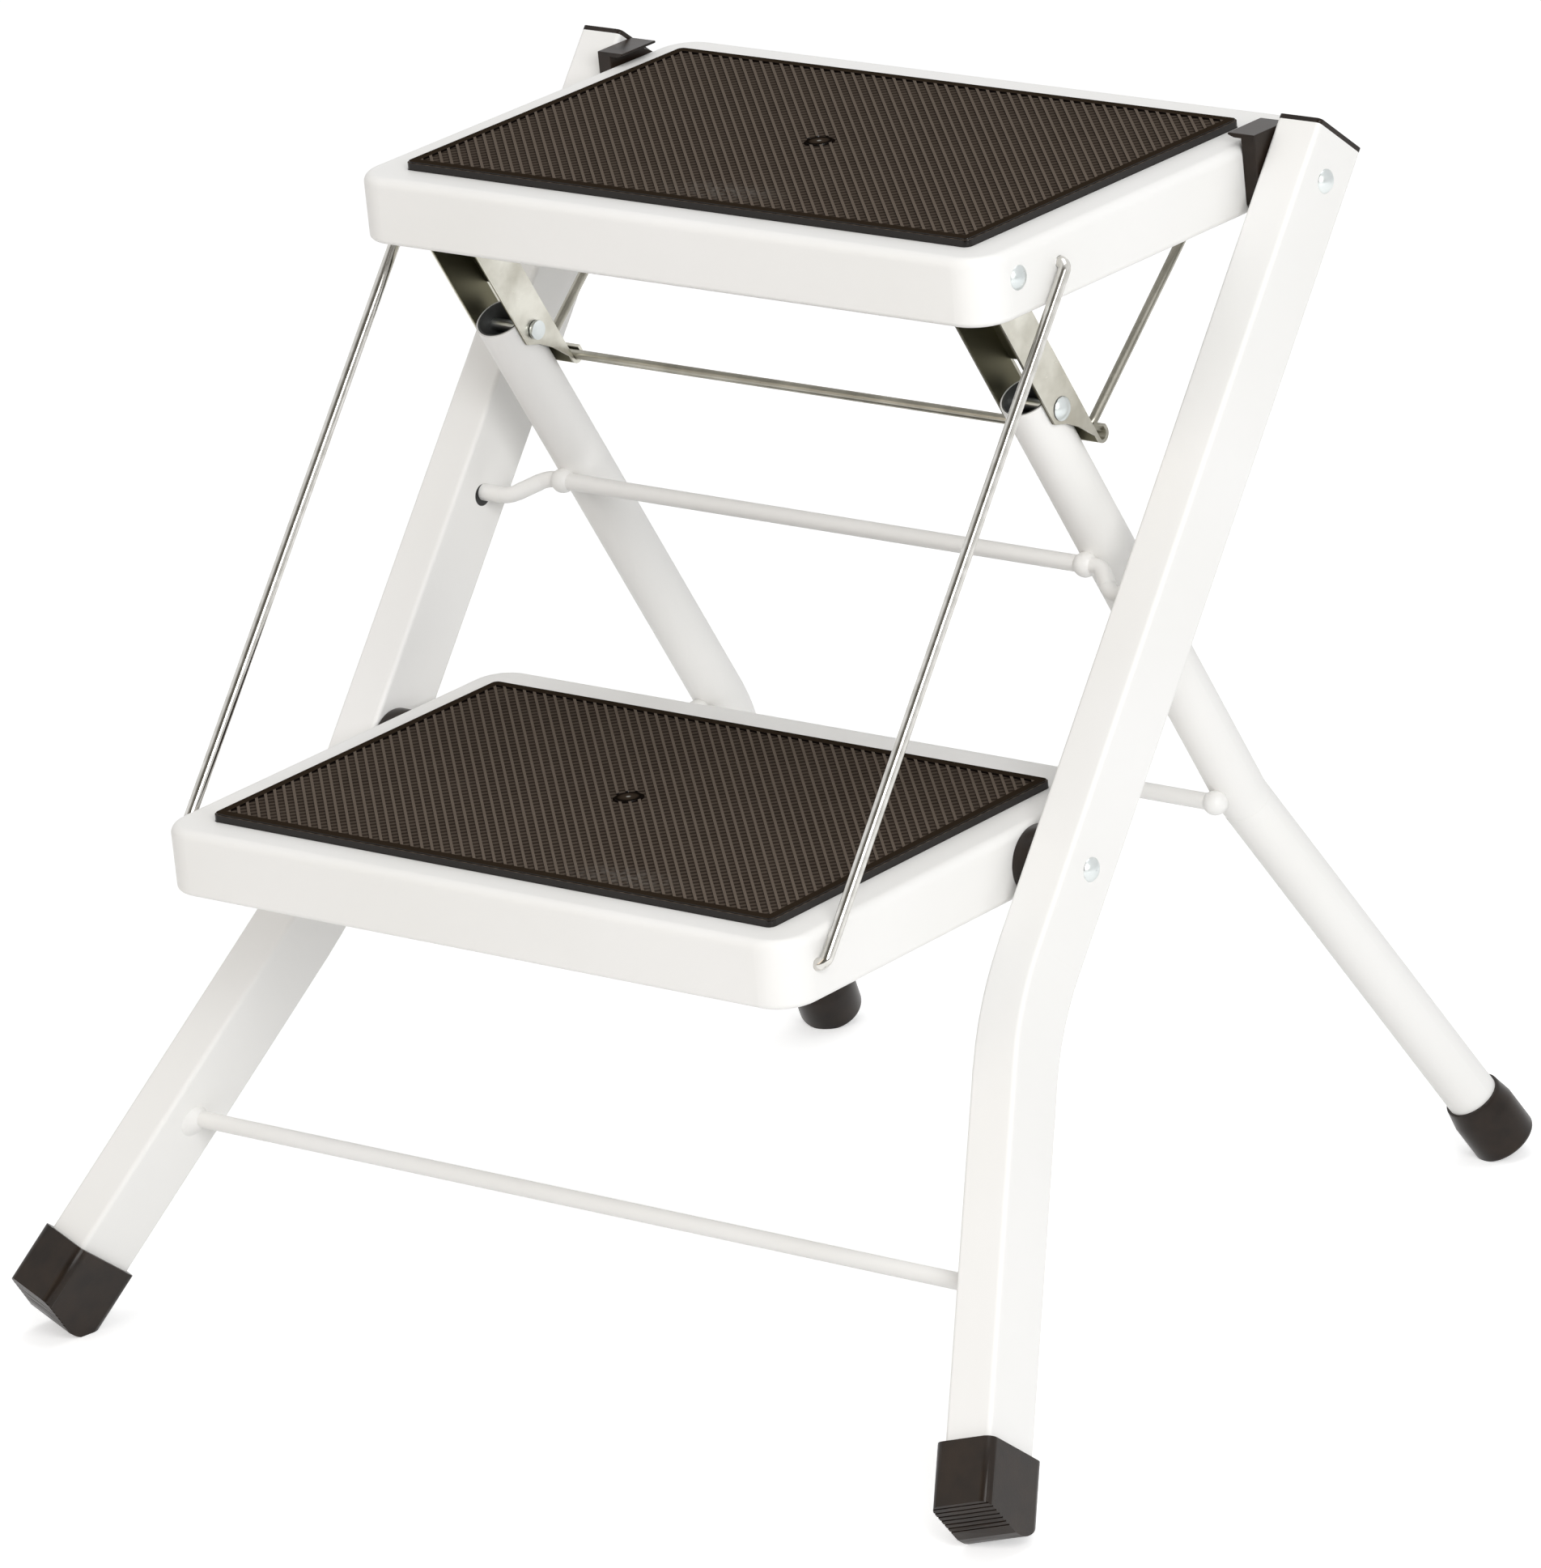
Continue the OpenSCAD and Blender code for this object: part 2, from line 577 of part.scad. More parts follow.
// moulded mat, its underside at z = 0 and its middle at the origin
module mat_solid() {
    field_w = mat_w - 2 * mat_rim;
    field_d = mat_depth - 2 * mat_rim;
    count = floor((field_w + field_d) / mat_rib_pitch / 2);
    color(rubber) {
        difference() {
            union() {
                linear_extrude(mat_t - mat_edge) round_rect(mat_w, mat_depth, mat_corner_r);
                translate([0, 0, mat_t - mat_edge]) linear_extrude(mat_edge)
                    round_rect(mat_w - 2 * mat_edge, mat_depth - 2 * mat_edge, mat_corner_r - mat_edge);
            }
            translate([0, 0, mat_t - mat_field]) linear_extrude(2)
                square([field_w, field_d], center = true);
        }
        translate([0, 0, mat_t - mat_field]) linear_extrude(mat_field - mat_rib_drop) difference() {
            intersection() {
                square([field_w, field_d], center = true);
                rotate(mat_rib_angle) for (k = [-count : count])
                    translate([-field_w, k * mat_rib_pitch - mat_rib_w / 2])
                        square([2 * field_w, mat_rib_w]);
            }
            circle(d = mat_mark_d);
        }
        translate([0, 0, mat_t - mat_field])
            cylinder(h = mat_field - mat_mark_drop, d = mat_mark_d - 2 * mat_mark_ring);
    }
}

module top_step() {
    color(paint) difference() {
        translate([0, top_front, top_surface]) step_shell(top_corner_r);
        for (s = [-1, 1]) mirrored(s) {
            at(top_hinge, step_x - step_edge_r) along_x(2 * step_edge_r, hinge_pin_d + 2 * fit);
            at(step_pin, step_x - step_edge_r) along_x(2 * step_edge_r, bracket_pin_d);
            at(link_top, step_x - step_edge_r) along_x(2 * step_edge_r, link_d + 2 * fit);
        }
    }
}

module top_step_mat() {
    translate([0, top_front + mat_border_front + mat_depth / 2, top_surface - mat_seat]) mat_solid();
}

module lower_step() {
    color(paint) difference() {
        translate([0, low_front, low_surface]) step_shell(step_corner_r);
        for (s = [-1, 1]) mirrored(s) {
            at(low_hinge, step_x - step_edge_r) along_x(2 * step_edge_r, hinge_pin_d + 2 * fit);
            at(link_low, step_x - step_edge_r) along_x(2 * step_edge_r, link_d + 2 * fit);
        }
    }
}

module lower_step_mat() {
    translate([0, low_front + mat_border_front + mat_depth / 2, low_surface - mat_seat]) mat_solid();
}

// moulded hinge block: round below the hinge, an upright front, a lip over the step
module hinge_block(s) {
    out = leg_inner_x - gap;
    under = step_over_hinge + block_lip_clear;
    depth = block_front + block_back;
    color(rubber) mirrored(s) at(top_hinge) difference() {
        union() {
            intersection() {
                translate([step_x, 0, 0]) along_x(out - step_x, 2 * block_r);
                translate([step_x, -block_front, -block_r])
                    cube([out - step_x, block_front + block_r, 2 * block_r]);
            }
            translate([step_x, -block_front, 0]) cube([out - step_x, depth, under + block_lip_t]);
            translate([step_x + eps, block_back, under]) rotate([90, 0, 0]) linear_extrude(depth)
                polygon([[0, 0], [0, block_lip_t], [-block_lip, block_lip_t],
                    [-block_lip, block_lip_t - block_lip_tip], [-block_lip / 2, 0]]);
        }
        translate([step_x - 1, 0, 0]) along_x(out - step_x + 2, hinge_pin_d + 2 * fit);
    }
}

module hinge_bush(s) {
    color(rubber) mirrored(s) at(low_hinge) difference() {
        translate([step_x, 0, 0]) along_x(leg_inner_x - gap - step_x, 2 * bush_r);
        translate([step_x - 1, 0, 0]) along_x(leg_inner_x - step_x + 1, hinge_pin_d + 2 * fit);
    }
}

// rivet in the step's side that the lock bracket swings on
module step_pin_stub(s) {
    inner = tube_x + bracket_half + gap;
    color(zinc) mirrored(s) at(step_pin) {
        translate([step_x, 0, 0]) head(bracket_head_d, bracket_head_h);
        translate([inner, 0, 0]) along_x(step_x - inner, bracket_pin_d);
        translate([inner, 0, 0]) along_x(step_x - step_sheet - inner, bracket_end_d);
    }
}

// lock bracket: channel over the tube end, open to the front, with a hook for the bail
module lock_bracket(s) {
    tail = bracket_tail;
    end_z = bracket_reach - bracket_end_r;
    color(zinc) mirrored(s) difference() {
        in_bracket() difference() {
            union() {
                for (x = [tube_x - bracket_half, tube_x + bracket_in])
                    translate([x, 0, 0]) rotate([90, 0, 90]) linear_extrude(bracket_t) {
                        translate([bracket_end_r - bracket_front, end_z]) circle(bracket_end_r);
                        polygon(concat([[-bracket_front, end_z]], cheek_low, [[web_out, -tail],
                            [web_out, bracket_reach - bracket_slope],
                            [web_out - 0.8 * bracket_slope, bracket_reach],
                            [bracket_end_r - bracket_front, bracket_reach]]));
                    }
                translate([tube_x - bracket_half, web_in, web_relief_up])
                    cube([2 * bracket_half, bracket_t, bracket_reach - bracket_slope - web_relief_up]);
                translate([tube_x - bracket_half, web_in, hook_z])
                    cube([2 * bracket_half, bracket_t, web_low_len]);
                translate([tube_x - bracket_half, hook_y, hook_z]) rotate([0, 90, 0])
                    rotate_extrude(angle = 180, start = -90) translate([hook_in, 0])
                    square([bracket_t, 2 * bracket_half]);
                translate([tube_x - bracket_half, hook_y + hook_in, hook_z])
                    cube([2 * bracket_half, bracket_t, hook_lip]);
            }
            translate([bail_x - bail_bend_r, web_out + 0.1, hook_z - 10])
                cube([bail_bend_r + bail_d / 2 + hook_slack, 20, 20]);
        }
        at(tube_pin, tube_x - tube_d) along_x(2 * tube_d, bracket_pin_d + 2 * fit);
    }
}

// lock bail: wire lying in both hooks, its arms rising under the top step
module lock_bail() {
    r = bail_bend_r;
    color(zinc) at(hook) rotate([bail_rise, 0, 0]) {
        translate([r - bail_x, 0, 0]) along_x(2 * (bail_x - r), bail_d);
        for (s = [-1, 1]) mirrored(s) {
            translate([bail_x - r, r, 0]) rotate([0, 0, -90])
                rotate_extrude(angle = 90) translate([r, 0]) circle(d = bail_d);
            translate([bail_x, r, 0]) rotate([-90, 0, 0]) cylinder(h = bail_arm - r, d = bail_d);
        }
    }
}

// link rod beside the steps, its ends bent into the step sides
module link_rod(s) {
    dz = tread_rise;
    len = dz / cos(front_lean);
    low_end = step_x - step_sheet - 4;
    color(chrome) mirrored(s) {
        at(link_low, 0) rotate([-front_lean, 0, 0]) {
            translate([low_end, 0, 0]) along_x(link_x - link_bend_r - low_end, link_d);
            translate([link_x - link_bend_r, 0, link_bend_r]) rotate([90, 0, 0])
                rotate_extrude(angle = 90, start = 270) translate([link_bend_r, 0]) circle(d = link_d);
            translate([link_x, 0, link_bend_r]) cylinder(h = len - 2 * link_bend_r, d = link_d);
            translate([link_x - link_bend_r, 0, len - link_bend_r]) rotate([90, 0, 0])
                rotate_extrude(angle = 90) translate([link_bend_r, 0]) circle(d = link_d);
        }
    }
}

// push-on cap that holds a link rod's end inside the step
module link_cap(p, s) {
    inside = step_x - step_sheet - gap - 2;
    color(zinc) mirrored(s) at(p) difference() {
        translate([inside, 0, 0]) along_x(2, cap_d);
        translate([inside - 1, 0, 0]) along_x(4, link_d);
    }
}

front_leg(-1);  // front_leg_left
front_leg(1);  // front_leg_right
front_crossbar();
front_foot(-1);  // front_foot_left
front_foot(1);  // front_foot_right
leg_plug(-1);  // leg_plug_left
leg_plug(1);  // leg_plug_right
hinge_rivet(top_hinge, -1);  // top_hinge_rivet_left
hinge_rivet(top_hinge, 1);  // top_hinge_rivet_right
hinge_rivet(low_hinge, -1);  // low_hinge_rivet_left
hinge_rivet(low_hinge, 1);  // low_hinge_rivet_right
rear_leg(-1);  // rear_leg_left
rear_leg(1);  // rear_leg_right
pivot_rod();
rear_crossbar();
rear_foot(-1);  // rear_foot_left
rear_foot(1);  // rear_foot_right
bracket_rivet(-1);  // bracket_rivet_left
bracket_rivet(1);  // bracket_rivet_right
top_step();  // top_step_pan
top_step_mat();
hinge_block(-1);  // hinge_block_left
hinge_block(1);  // hinge_block_right
step_pin_stub(-1);  // step_pin_left
step_pin_stub(1);  // step_pin_right
lower_step();  // lower_step_pan
lower_step_mat();
hinge_bush(-1);  // hinge_bush_left
hinge_bush(1);  // hinge_bush_right
lock_bracket(-1);  // lock_bracket_left
lock_bracket(1);  // lock_bracket_right
lock_bail();
link_rod(-1);  // link_rod_left
link_rod(1);  // link_rod_right
link_cap(link_top, -1);  // top_link_cap_left
link_cap(link_top, 1);  // top_link_cap_right
link_cap(link_low, -1);  // low_link_cap_left
link_cap(link_low, 1);  // low_link_cap_right
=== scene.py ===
"""Folding two-step step stool: finishes, soft edges and studio.

Painted tube and pressed steps, moulded rubber mats and feet, zinc brackets and rivets, bright link rods.
"""

import json
import math

import bmesh
import bpy
from mathutils import Matrix, Vector

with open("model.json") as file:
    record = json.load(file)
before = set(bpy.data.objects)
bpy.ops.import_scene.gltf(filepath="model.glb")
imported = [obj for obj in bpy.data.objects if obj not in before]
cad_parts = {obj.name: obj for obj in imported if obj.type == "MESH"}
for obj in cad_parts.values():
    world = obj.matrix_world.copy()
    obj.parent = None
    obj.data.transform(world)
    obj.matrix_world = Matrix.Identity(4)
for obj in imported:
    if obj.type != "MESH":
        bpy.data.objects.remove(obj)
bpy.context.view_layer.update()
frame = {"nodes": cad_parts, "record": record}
nodes = frame["nodes"]
MM = 0.001
# sockets of a Mix node, which share their names between numbers and colours
FACTOR, NUMBER_A, NUMBER_B, COLOUR_A, COLOUR_B, COLOUR_OUT = 0, 2, 3, 6, 7, 2


def linear(hex_code):
    """sRGB hex to the linear colour that a shader takes."""
    values = [int(hex_code[i:i + 2], 16) / 255 for i in (1, 3, 5)]
    return tuple(v / 12.92 if v <= 0.04045 else ((v + 0.055) / 1.055) ** 2.4 for v in values) + (1.0,)


def add(tree, kind, inputs=(), stops=(), **settings):
    """Adds a node with its settings, input values or links, and colour stops, and returns its outputs."""
    node = tree.nodes.new(kind)
    for name, value in settings.items():
        setattr(node, name, value)
    for socket, value in dict(inputs).items():
        if isinstance(value, bpy.types.NodeSocket):
            tree.links.new(value, node.inputs[socket])
        else:
            node.inputs[socket].default_value = value
    while stops and len(node.color_ramp.elements) < len(stops):
        node.color_ramp.elements.new(0.5)
    for element, (place, hex_code) in zip(node.color_ramp.elements if stops else (), stops):
        element.position = place
        element.color = linear(hex_code)
    return node.outputs


def finish(name):
    """A new empty material and its node tree."""
    made = bpy.data.materials.new(name)
    made.use_nodes = True
    made.node_tree.nodes.clear()
    return made, made.node_tree


# ---- places on the tubes and legs ----------------------------------------------------------

def corners(name):
    """Lowest and highest corner of a piece, in metres."""
    points = [nodes[name].matrix_world @ Vector(corner) for corner in nodes[name].bound_box]
    return (Vector(min(p[i] for p in points) for i in range(3)),
            Vector(max(p[i] for p in points) for i in range(3)))


low, high = corners("bracket_rivet_right")
TUBE_X = 137 * MM
BRACKET_RIVET = Vector((TUBE_X, (low.y + high.y) / 2, (low.z + high.z) / 2))
TUBE_LEAN = math.radians(28.9)
# how far the tube's middle line lies ahead of the rivet
TUBE_AHEAD = 2.7 * MM
# between the bore's wall and the tube's outside; the bore shows at the tube's open upper end only
BORE_R = 10.3 * MM
BORE_LOW = -60 * MM
# from the bracket's middle to the middle of its side walls, and from the rivet to its back wall
CHANNEL_HALF = 12.0 * MM
CHANNEL_BACK = 11.5 * MM - TUBE_AHEAD
# the hole round the pivot rod, painted dark as the shade in its gap: 1 mm ahead of the rod's end and 1 mm
# below it
PIVOT_HOLE = (0, 18.6 * MM, 302.0 * MM)
PIVOT_HOLE_R = 4.6 * MM
HOLE_BLUR = 0.1 * MM
# from the stool's middle line to the middle of a front leg
LEG_MIDDLE = 182 * MM


def from_rivet(tree, place):
    """Place of each point from its bracket's rivet, left and right alike: Y off the tube, Z up it."""
    split = add(tree, "ShaderNodeSeparateXYZ", {"Vector": place})
    side = add(tree, "ShaderNodeMath", {0: split["X"]}, operation="ABSOLUTE")["Value"]
    alike = add(tree, "ShaderNodeCombineXYZ", {"X": side, "Y": split["Y"], "Z": split["Z"]})["Vector"]
    off = add(tree, "ShaderNodeVectorMath", {0: alike, 1: BRACKET_RIVET}, operation="SUBTRACT")["Vector"]
    return add(tree, "ShaderNodeMapping", {"Vector": off, "Rotation": (-TUBE_LEAN, 0, 0)})["Vector"]


# ---- finishes ------------------------------------------------------------------------------

def white_powder_coat(tube=False, painted_hole_shade=False):
    """Gloss white powder coat on steel: bright and even, with the faint orange-peel skin of baked powder; on
    the legs, painted shade round the pivot hole.
    """
    made, tree = finish("white_powder_coat" + ("_tube" if tube else "_leg" if painted_hole_shade else ""))
    place = add(tree, "ShaderNodeTexCoord")["Object"]
    drift = add(tree, "ShaderNodeTexNoise", {"Vector": place, "Scale": 1 / (90 * MM), "Detail": 1.0})["Fac"]
    tone = add(tree, "ShaderNodeValToRGB", {"Fac": drift}, ((0.3, "#ECEBE8"), (0.75, "#F0EFED")))["Color"]
    # the real skin has 0.5 mm dimples; 1.8 mm is the finest that shows at this size
    skin = add(tree, "ShaderNodeTexNoise", {"Vector": place, "Scale": 1 / (1.8 * MM), "Detail": 1.0})["Fac"]
    dimples = add(tree, "ShaderNodeBump", {"Height": skin, "Distance": 0.02 * MM, "Strength": 0.3})["Normal"]
    gloss = add(tree, "ShaderNodeMapRange", {"Value": drift, "To Min": 0.4, "To Max": 0.5})["Result"]
    if tube:
        # the spray doesn't reach down the bore, which stays bare dark steel
        spot = from_rivet(tree, place)
        across = add(tree, "ShaderNodeVectorMath", {0: spot, 1: (1, 1, 0), 2: (0, TUBE_AHEAD, 0)},
                     operation="MULTIPLY_ADD")["Vector"]
        radius = add(tree, "ShaderNodeVectorMath", {0: across}, operation="LENGTH")["Value"]
        within = add(tree, "ShaderNodeMath", {0: radius, 1: BORE_R}, operation="LESS_THAN")["Value"]
        up = add(tree, "ShaderNodeSeparateXYZ", {"Vector": spot})["Z"]
        upper = add(tree, "ShaderNodeMath", {0: up, 1: BORE_LOW}, operation="GREATER_THAN")["Value"]
        bore = add(tree, "ShaderNodeMath", {0: within, 1: upper}, operation="MULTIPLY")["Value"]
        tone = add(tree, "ShaderNodeMix", {FACTOR: bore, COLOUR_A: tone, COLOUR_B: linear("#4B4C4B")},
                   data_type="RGBA")[COLOUR_OUT]
    if painted_hole_shade:
        # the hole in the leg's inner wall is wider than the pivot rod; the shade in the gap beside the rod
        # is painted dark
        beside = add(tree, "ShaderNodeVectorMath", {0: place, 1: PIVOT_HOLE}, operation="SUBTRACT")["Vector"]
        around = add(tree, "ShaderNodeVectorMath", {0: beside, 1: (0, 1, 1)}, operation="MULTIPLY")["Vector"]
        radius = add(tree, "ShaderNodeVectorMath", {0: around}, operation="LENGTH")["Value"]
        rim = add(tree, "ShaderNodeMapRange", {"Value": radius, "From Min": PIVOT_HOLE_R + HOLE_BLUR,
                                               "From Max": PIVOT_HOLE_R - HOLE_BLUR})["Result"]
        side = add(tree, "ShaderNodeSeparateXYZ", {"Vector": place})["X"]
        width = add(tree, "ShaderNodeMath", {0: side}, operation="ABSOLUTE")["Value"]
        inner = add(tree, "ShaderNodeMath", {0: width, 1: LEG_MIDDLE}, operation="LESS_THAN")["Value"]
        hole_shade_mask = add(tree, "ShaderNodeMath", {0: rim, 1: inner}, operation="MULTIPLY")["Value"]
        tone = add(tree, "ShaderNodeMix", {FACTOR: hole_shade_mask, COLOUR_A: tone, COLOUR_B: linear("#191817")},
                   data_type="RGBA")[COLOUR_OUT]
    shader = add(tree, "ShaderNodeBsdfPrincipled",
                 {"Base Color": tone, "Normal": dimples, "Roughness": gloss, "IOR": 1.5})["BSDF"]
    add(tree, "ShaderNodeOutputMaterial", {"Surface": shader})
    return made


RIB_HEIGHT = 0.8 * MM
RIB_DROP = 0.1 * MM          # how far the ribs stay below the mat's plain rim
RIB_PITCH = 3.85 * MM
RIDGE_DEPTH = 0.4 * MM
GATE_R = 6.5 * MM
# where feet have rubbed each mat, worn and painted paler as its sheen: from the stool's middle line, and
# behind the mat's front edge
WORN = {"top_step_mat": (8 * MM, 18 * MM), "lower_step_mat": (60 * MM, 14 * MM)}
WORN_HALF_WIDTH = 34 * MM
WORN_HALF_DEPTH = 13 * MM


def moulded_mat(name, ground, middle, worn):
    """Moulded brown-black rubber mat: rib tops and the grooves' fine cross ridges paler, partly dust and
    partly painted light, over grooves darkened with painted shade.

    Feet have worn a patch near the front, in broken scuffs; its paler grey is partly wear and partly painted
    sheen.
    """
    made, tree = finish(name)
    place = add(tree, "ShaderNodeTexCoord")["Object"]
    height = add(tree, "ShaderNodeSeparateXYZ", {"Vector": place})["Z"]
    crest = add(tree, "ShaderNodeMapRange",
                {"Value": height, "From Min": ground, "From Max": ground + RIB_HEIGHT})["Result"]
    turned = add(tree, "ShaderNodeMapping",
                 {"Vector": place, "Rotation": (0, 0, math.radians(45))})["Vector"]
    # a wave of scale s has its bands 2 pi / 20 s apart
    ridges = add(tree, "ShaderNodeTexWave", {"Vector": turned, "Scale": math.pi / (10 * RIB_PITCH),
                                             "Distortion": 0.0})["Fac"]
    groove = add(tree, "ShaderNodeMath", {0: 1.0, 1: crest}, operation="SUBTRACT")["Value"]
    # the upright edge and the ribs' flanks keep the mould's polish: darker and glossier than the walked top
    facing = add(tree, "ShaderNodeNewGeometry")["True Normal"]
    upward = add(tree, "ShaderNodeSeparateXYZ", {"Vector": facing})["Z"]
    walked = add(tree, "ShaderNodeMapRange", {"Value": upward, "From Min": 0.3, "From Max": 0.8})["Result"]
    level = add(tree, "ShaderNodeMath", {0: groove, 1: walked}, operation="MULTIPLY")["Value"]
    steps = add(tree, "ShaderNodeMath", {0: ridges, 1: level}, operation="MULTIPLY")["Value"]
    # rib tops (crest) and the cross ridges' tops (steps) lift the tone: partly dust and wear, partly painted
    # light; the low grooves carry painted shade
    lit_and_worn_tops = add(tree, "ShaderNodeMath", {0: steps, 1: 0.7, 2: crest}, operation="MULTIPLY_ADD")["Value"]
    dust = add(tree, "ShaderNodeTexNoise", {"Vector": place, "Scale": 1 / (14 * MM), "Detail": 3.0})["Fac"]
    shade = add(tree, "ShaderNodeMath", {0: dust, 1: 0.3, 2: lit_and_worn_tops}, operation="MULTIPLY_ADD")["Value"]
    tone = add(tree, "ShaderNodeValToRGB", {"Fac": shade},
               ((0.1, "#2D2620"), (0.5, "#433A33"), (0.9, "#564D44"), (1.0, "#635950")))["Color"]
    offset = add(tree, "ShaderNodeVectorMath", {0: place, 1: worn}, operation="SUBTRACT")["Vector"]
    flat = add(tree, "ShaderNodeVectorMath", {0: offset, 1: (1 / WORN_HALF_WIDTH, 1 / WORN_HALF_DEPTH, 0)},
               operation="MULTIPLY")["Vector"]
    away = add(tree, "ShaderNodeVectorMath", {0: flat}, operation="LENGTH")["Value"]
    rubbed_and_sheen = add(tree, "ShaderNodeMapRange", {"Value": away, "From Min": 1.0, "From Max": 0.1,
                                              "To Max": 0.7})["Result"]
    scuffs = add(tree, "ShaderNodeTexNoise", {"Vector": place, "Scale": 1 / (3 * MM), "Detail": 4.0})["Fac"]
    broken = add(tree, "ShaderNodeMapRange", {"Value": scuffs, "From Min": 0.4, "From Max": 0.65,
                                              "To Max": rubbed_and_sheen})["Result"]
    # the worn patch's pale grey: partly wear, partly painted sheen of the polished rubber
    field = add(tree, "ShaderNodeMix", {FACTOR: broken, COLOUR_A: tone, COLOUR_B: linear("#6D6862")},
                data_type="RGBA")[COLOUR_OUT]
    # the plain rim stands just above the ribs and stays darker than they are
    rib_top = ground + RIB_HEIGHT
    rim = add(tree, "ShaderNodeMapRange", {"Value": height, "From Min": rib_top + 0.2 * RIB_DROP,
                                           "From Max": rib_top + 0.8 * RIB_DROP})["Result"]
    bordered = add(tree, "ShaderNodeMix", {FACTOR: rim, COLOUR_A: field, COLOUR_B: linear("#2C241C")},
                   data_type="RGBA")[COLOUR_OUT]
    # the gate mark in the middle: a sunk ring darkened with painted shade, round a small pip with a painted
    # glint
    to_middle = add(tree, "ShaderNodeVectorMath", {0: place, 1: middle}, operation="DISTANCE")["Value"]
    reach = add(tree, "ShaderNodeMath", {0: to_middle, 1: 1 / GATE_R}, operation="MULTIPLY")["Value"]
    gate_shade_and_glint = add(tree, "ShaderNodeValToRGB", {"Fac": reach},
               ((0.1, "#8C8A84"), (0.17, "#3A3129"), (0.55, "#2E261F"), (0.7, "#0F0B08"),
                (0.95, "#15100C")))["Color"]
    marked = add(tree, "ShaderNodeMath", {0: reach, 1: 1.0}, operation="LESS_THAN")["Value"]
    top = add(tree, "ShaderNodeMix", {FACTOR: marked, COLOUR_A: bordered, COLOUR_B: gate_shade_and_glint},
              data_type="RGBA")[COLOUR_OUT]
    colour = add(tree, "ShaderNodeMix", {FACTOR: walked, COLOUR_A: linear("#120D0A"), COLOUR_B: top},
                 data_type="RGBA")[COLOUR_OUT]
    grain = add(tree, "ShaderNodeTexNoise", {"Vector": place, "Scale": 1 / (0.9 * MM), "Detail": 2.0})["Fac"]
    relief = add(tree, "ShaderNodeBump",
                 {"Height": steps, "Distance": RIDGE_DEPTH, "Strength": 0.6})["Normal"]
    skin = add(tree, "ShaderNodeBump", {"Height": grain, "Distance": 0.05 * MM, "Strength": 0.4,
                                        "Normal": relief})["Normal"]
    sheen = add(tree, "ShaderNodeMapRange", {"Value": dust, "To Min": 0.45, "To Max": 0.6})["Result"]
    gloss = add(tree, "ShaderNodeMix", {FACTOR: walked, NUMBER_A: 0.22, NUMBER_B: sheen})["Result"]
    shine = add(tree, "ShaderNodeMapRange", {"Value": walked, "To Min": 0.35, "To Max": 0.0})["Result"]
    shader = add(tree, "ShaderNodeBsdfPrincipled",
                 {"Base Color": colour, "Normal": skin, "Roughness": gloss, "IOR": 1.52,
                  "Specular IOR Level": shine})["BSDF"]
    add(tree, "ShaderNodeOutputMaterial", {"Surface": shader})
    return made


def moulded_rubber():
    """Moulded rubber of the feet, spacers, blocks and plugs: brown-black satin, finely clouded."""
    made, tree = finish("moulded_black_rubber")
    place = add(tree, "ShaderNodeTexCoord")["Object"]
    cloud = add(tree, "ShaderNodeTexNoise", {"Vector": place, "Scale": 1 / (11 * MM), "Detail": 3.0})["Fac"]
    tone = add(tree, "ShaderNodeValToRGB", {"Fac": cloud}, ((0.3, "#1A130E"), (0.7, "#281E16")))["Color"]
    grain = add(tree, "ShaderNodeTexNoise", {"Vector": place, "Scale": 1 / (1.0 * MM), "Detail": 2.0})["Fac"]
    skin = add(tree, "ShaderNodeBump", {"Height": grain, "Distance": 0.06 * MM, "Strength": 0.35})["Normal"]
    sheen = add(tree, "ShaderNodeMapRange", {"Value": cloud, "To Min": 0.26, "To Max": 0.38})["Result"]
    shader = add(tree, "ShaderNodeBsdfPrincipled",
                 {"Base Color": tone, "Normal": skin, "Roughness": sheen, "IOR": 1.5,
                  "Specular IOR Level": 0.25})["BSDF"]
    add(tree, "ShaderNodeOutputMaterial", {"Surface": shader})
    return made


